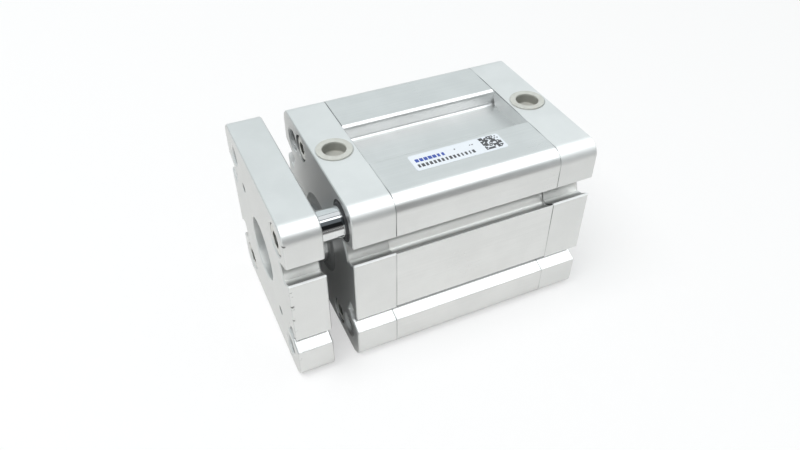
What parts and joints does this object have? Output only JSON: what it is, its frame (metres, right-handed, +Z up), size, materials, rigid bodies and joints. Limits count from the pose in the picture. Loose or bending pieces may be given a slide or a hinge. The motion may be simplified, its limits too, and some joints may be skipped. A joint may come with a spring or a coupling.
{
  "type": "guided pneumatic cylinder",
  "caption": "Compact square air cylinder with plugged ports on top, sensor grooves in the sides, and a yoke plate carried by a piston rod and guide rods.",
  "frame": {"origin": "on the cylinder axis, at the rear cap's mounting face", "axes": "+X the way the rod extends, +Z up through the air ports, +Y to the side"},
  "size_m": [0.1055, 0.064, 0.0644],
  "materials": {
    "barrel_anodised": "fine matt anodised extrusion",
    "cap_anodised": "fine matt anodised",
    "plate_anodised": "fine matt anodised",
    "hard_chrome": "ground and polished",
    "zinc_steel": "bright zinc plated",
    "bush_bronze": "sintered bronze",
    "seal_rubber": "smooth dark elastomer",
    "bumper_rubber": "elastic bumper",
    "piston_aluminium": "turned",
    "magnet": "plastic-bound magnet",
    "wear_plastic": "plain bearing plastic",
    "plug_plastic": "moulded polyethylene"
  },
  "bodies": {
    "cylinder_body": {"barrel": "barrel_anodised", "rear_cap": "cap_anodised", "front_cap": "cap_anodised", "cap_screws_rear": "zinc_steel", "cap_screws_front": "zinc_steel", "bumper_rear": "bumper_rubber", "bumper_front": "bumper_rubber", "barrel_o_ring_rear": "seal_rubber", "barrel_o_ring_front": "seal_rubber", "rod_bush": "bush_bronze", "rod_wiper": "seal_rubber", "guide_bush_cap_upper": "bush_bronze", "guide_bush_cap_lower": "bush_bronze", "guide_bush_barrel_upper": "bush_bronze", "guide_bush_barrel_lower": "bush_bronze", "guide_wiper_upper": "seal_rubber", "guide_wiper_lower": "seal_rubber"},
    "slide": {"yoke_plate": "plate_anodised", "guide_rod_upper": "hard_chrome", "guide_rod_lower": "hard_chrome", "guide_rod_screws": "zinc_steel", "yoke_screw": "zinc_steel", "piston_rod": "hard_chrome", "piston_rear_half": "piston_aluminium", "piston_front_half": "piston_aluminium", "piston_screw": "zinc_steel", "piston_seal_rear": "seal_rubber", "piston_seal_front": "seal_rubber", "magnet_ring": "magnet", "wear_ring": "wear_plastic"},
    "plug_rear": {"port_plug_rear": "plug_plastic"},
    "plug_front": {"port_plug_front": "plug_plastic"}
  },
  "joints": [
    {"name": "piston_slide", "type": "slide", "parent": "cylinder_body", "child": "slide", "axis": [1, 0, 0], "range_m": [0, 0.04]},
    {"name": "plug_rear_pull", "type": "slide", "parent": "cylinder_body", "child": "plug_rear", "axis": [0, 0, 1], "range_m": [0, 0.012]},
    {"name": "plug_front_pull", "type": "slide", "parent": "cylinder_body", "child": "plug_front", "axis": [0, 0, 1], "range_m": [0, 0.012]}
  ]
}
